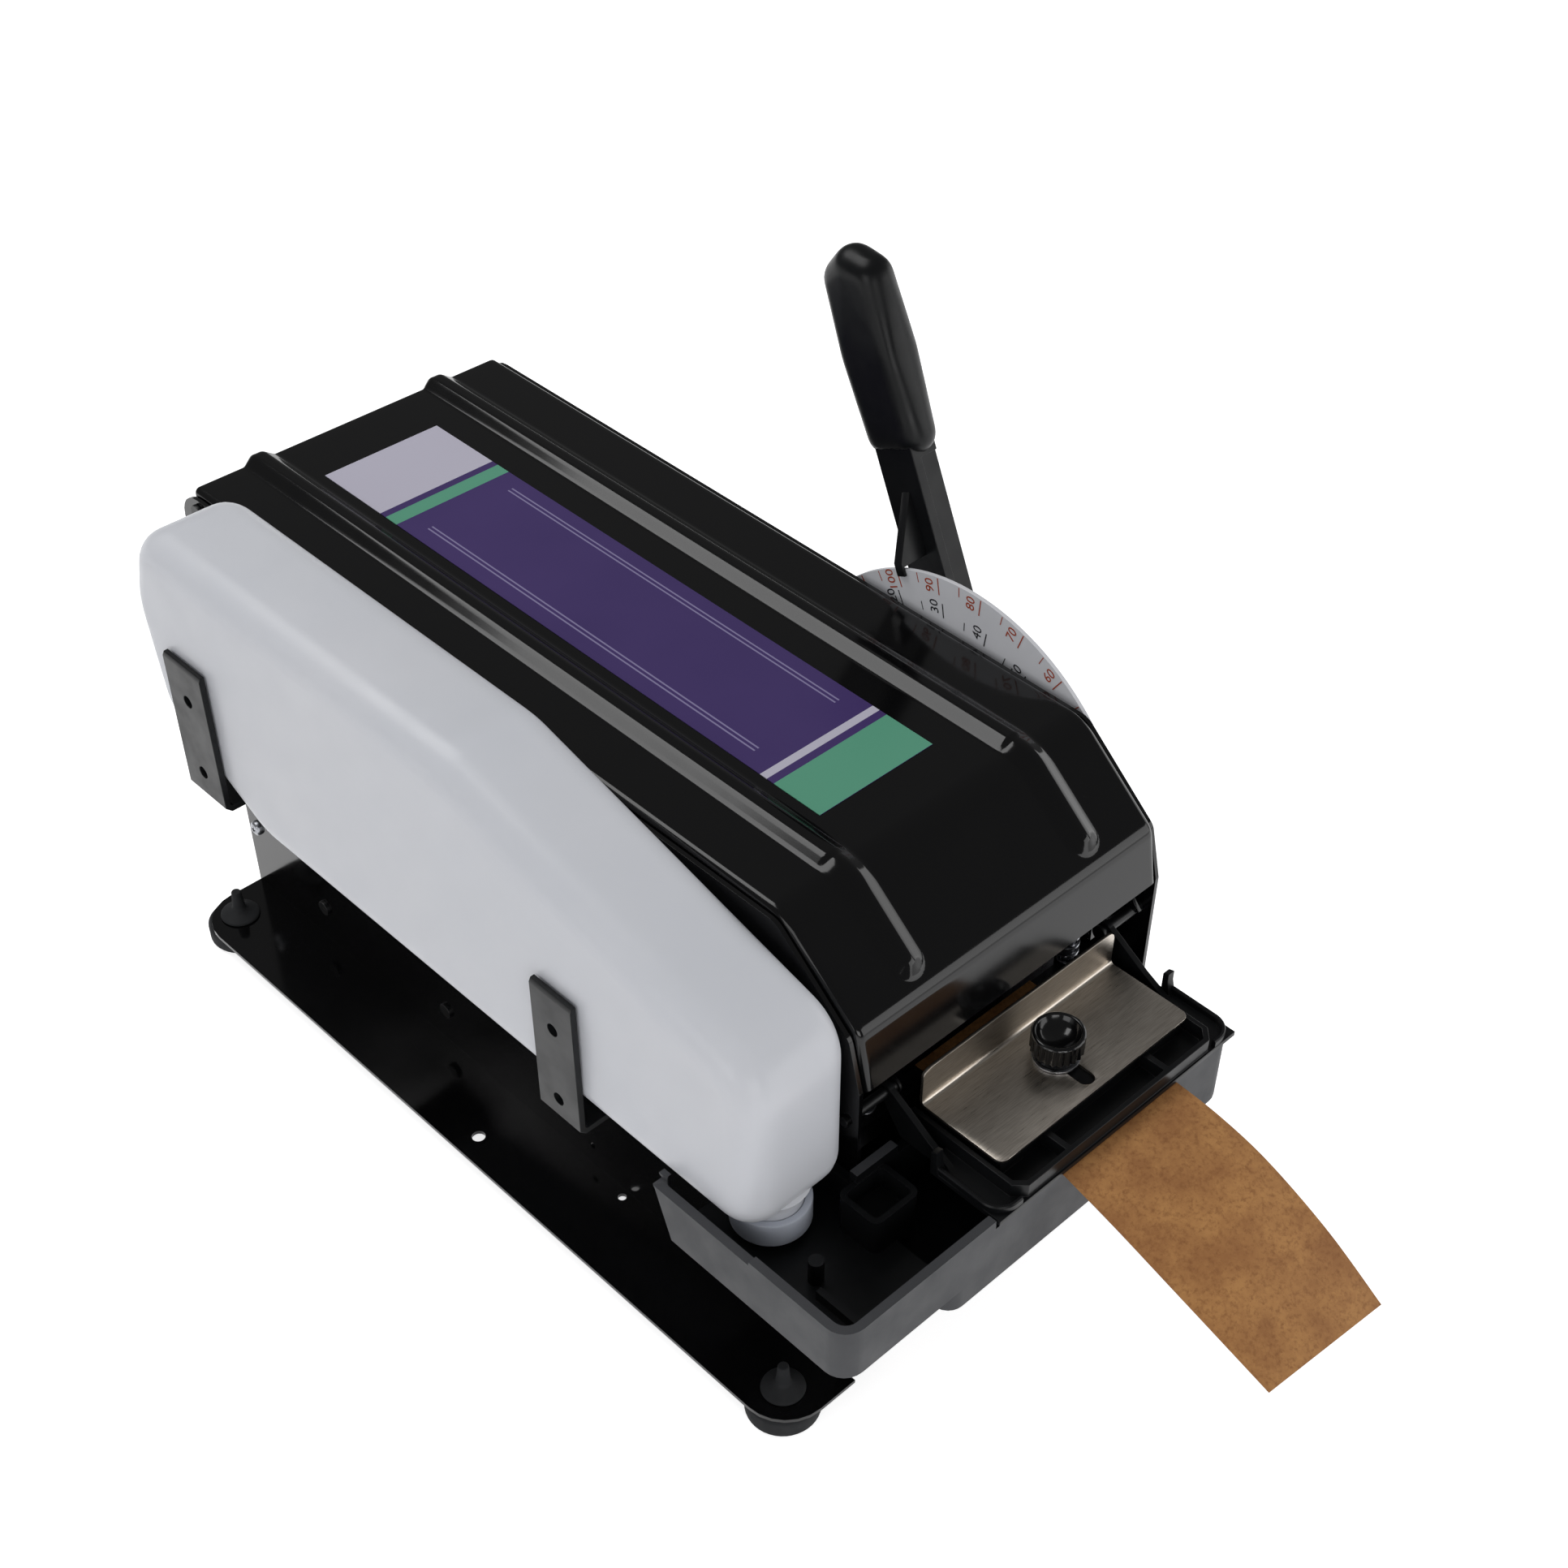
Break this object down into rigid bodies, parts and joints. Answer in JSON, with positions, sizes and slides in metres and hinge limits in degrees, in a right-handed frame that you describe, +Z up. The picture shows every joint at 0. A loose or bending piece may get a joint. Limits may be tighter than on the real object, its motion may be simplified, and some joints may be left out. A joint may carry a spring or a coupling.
{
  "type": "gummed tape dispenser",
  "caption": "Manual gummed tape dispenser: black steel body with hinged cover, hand lever with length dial, water bottle, tank and brushes, cutter and press frame.",
  "frame": {"origin": "midway between the two bench holes, on the underside of the base flanges", "axes": "+X to the lever side, -Y to the front where the tape comes out, +Z up"},
  "size_m": [0.2835, 0.6129, 0.3963],
  "materials": {
    "black_enamel": "gloss",
    "black_steel": "satin",
    "label_film": "gloss",
    "stainless": "satin",
    "bright_steel": "satin",
    "black_plastic": "satin",
    "grey_plastic": "satin",
    "dial_paint": "matt",
    "milky_plastic": "satin",
    "cap_plastic": "satin",
    "bronze": "satin",
    "roller_rubber": "matt",
    "foot_rubber": "matt",
    "kraft_tape": "matt",
    "core_board": "matt",
    "bristle": "matt",
    "brush_wood": "matt"
  },
  "bodies": {
    "frame": {"left_frame": "black_enamel", "right_frame": "black_enamel", "base_pan": "black_steel", "rear_panel": "black_enamel", "front_panel": "black_enamel", "tank_shelf": "black_steel", "rubber_feet": "foot_rubber", "roll_guides": "black_steel", "basket_axles": "bright_steel", "guide_rods": "bright_steel", "tape_bed": "bright_steel", "lower_blade": "bright_steel", "cutter_bars": "black_steel", "blade_rods": "bright_steel", "blade_springs": "bright_steel", "rocker_pin": "bright_steel", "dial_plate": "dial_paint", "dial_spacers": "bright_steel", "dial_screws": "bright_steel", "water_tank": "grey_plastic", "brush_blocks": "brush_wood", "brush_bristles": "bristle", "front_strap": "black_plastic", "rear_strap": "black_plastic", "strap_screws": "bright_steel", "frame_screws": "bright_steel", "hinge_rod": "bright_steel", "shaft_bushes": "bronze", "idler_axle": "bright_steel", "pressure_pin": "bright_steel", "tape_web": "kraft_tape", "tape_strip": "kraft_tape", "press_pins": "bright_steel"},
    "cover": {"top_cover": "black_enamel", "cover_label": "label_film"},
    "lever": {"lever_arm": "black_plastic", "lever_grip": "black_plastic", "pointer": "black_plastic", "lever_shaft": "bright_steel", "lever_nut": "bright_steel", "drive_sector": "bright_steel"},
    "idler": {"idler_gear": "bright_steel"},
    "feed": {"feed_shaft": "bright_steel", "feed_roller": "roller_rubber"},
    "roll": {"tape_roll": "kraft_tape", "roll_core": "core_board"},
    "front_basket_roller": {"basket_roller_front": "bright_steel"},
    "rear_basket_roller": {"basket_roller_rear": "bright_steel"},
    "pressure_arm": {"pressure_arms": "bright_steel"},
    "pressure_wheel": {"pressure_roller": "roller_rubber"},
    "cutter": {"upper_blade": "bright_steel", "blade_carrier": "black_steel"},
    "rocker": {"cut_rocker": "bright_steel"},
    "press": {"press_frame": "black_plastic"},
    "plate": {"steel_plate": "stainless"},
    "adjuster": {"knob": "black_plastic", "knob_washer": "bright_steel"},
    "water_bottle": {"bottle": "milky_plastic", "bottle_cap": "cap_plastic"},
    "valve": {"valve_pin": "bright_steel"}
  },
  "joints": [
    {"name": "cover_hinge", "type": "hinge", "parent": "frame", "child": "cover", "pos_m": [0, 0.206, 0.238], "axis": [-1, 0, 0], "range_deg": [0, 95]},
    {"name": "lever_swing", "type": "hinge", "parent": "frame", "child": "lever", "pos_m": [0.1, -0.1023, 0.1702], "axis": [1, 0, 0], "range_deg": [-38.5, 61.5]},
    {"name": "idler_turn", "type": "hinge", "parent": "frame", "child": "idler", "pos_m": [0.066, -0.11535, 0.10397], "axis": [1, 0, 0], "continuous": true},
    {"name": "feed_turn", "type": "hinge", "parent": "frame", "child": "feed", "pos_m": [0, -0.166, 0.1227], "axis": [1, 0, 0], "continuous": true},
    {"name": "roll_turn", "type": "hinge", "parent": "frame", "child": "roll", "pos_m": [0, 0.108, 0.10277], "axis": [1, 0, 0], "continuous": true},
    {"name": "front_basket_turn", "type": "hinge", "parent": "frame", "child": "front_basket_roller", "pos_m": [0, 0.058, 0.024], "axis": [1, 0, 0], "continuous": true},
    {"name": "rear_basket_turn", "type": "hinge", "parent": "frame", "child": "rear_basket_roller", "pos_m": [0, 0.158, 0.024], "axis": [1, 0, 0], "continuous": true},
    {"name": "pressure_lift", "type": "hinge", "parent": "frame", "child": "pressure_arm", "pos_m": [0, -0.128, 0.181], "axis": [-1, 0, 0], "range_deg": [0, 10], "stiffness_Nm_per_rad": 0.5, "springref_deg": -28.65},
    {"name": "pressure_turn", "type": "hinge", "parent": "pressure_arm", "child": "pressure_wheel", "pos_m": [0, -0.166, 0.1579], "axis": [1, 0, 0], "continuous": true},
    {"name": "cut_slide", "type": "slide", "parent": "frame", "child": "cutter", "axis": [0, 0, -1], "range_m": [0, 0.007], "stiffness_N_per_m": 800, "springref_m": -0.004, "deforming": ["blade_springs"]},
    {"name": "rocker_swing", "type": "hinge", "parent": "frame", "child": "rocker", "pos_m": [0.05, -0.152, 0.203], "axis": [1, 0, 0], "range_deg": [0, 9]},
    {"name": "press_frame_hinge", "type": "hinge", "parent": "frame", "child": "press", "pos_m": [0, -0.213, 0.166], "axis": [-1, 0, 0], "range_deg": [0, 38]},
    {"name": "plate_adjust", "type": "slide", "parent": "press", "child": "plate", "axis": [0, 1, 0], "range_m": [-0.003, 0.012]},
    {"name": "knob_turn", "type": "hinge", "parent": "press", "child": "adjuster", "pos_m": [0, -0.2436, 0.165], "axis": [0, 0, 1], "range_deg": [0, 360]},
    {"name": "bottle_lift", "type": "slide", "parent": "frame", "child": "water_bottle", "axis": [0, 0, 1], "range_m": [0, 0.13]},
    {"name": "valve_press", "type": "slide", "parent": "water_bottle", "child": "valve", "axis": [0, 0, 1], "range_m": [0, 0.0025], "stiffness_N_per_m": 150, "springref_m": -0.002}
  ],
  "couplings": [
    {"joint": "idler_turn", "follows": "lever_swing", "ratio": -4},
    {"joint": "feed_turn", "follows": "lever_swing", "ratio": 14},
    {"joint": "roll_turn", "follows": "lever_swing", "ratio": 3.8667},
    {"joint": "front_basket_turn", "follows": "lever_swing", "ratio": -36.089},
    {"joint": "rear_basket_turn", "follows": "lever_swing", "ratio": -36.089},
    {"joint": "pressure_turn", "follows": "lever_swing", "ratio": -29.527},
    {"joint": "rocker_swing", "follows": "cut_slide", "rad_per_m": 21.4}
  ]
}
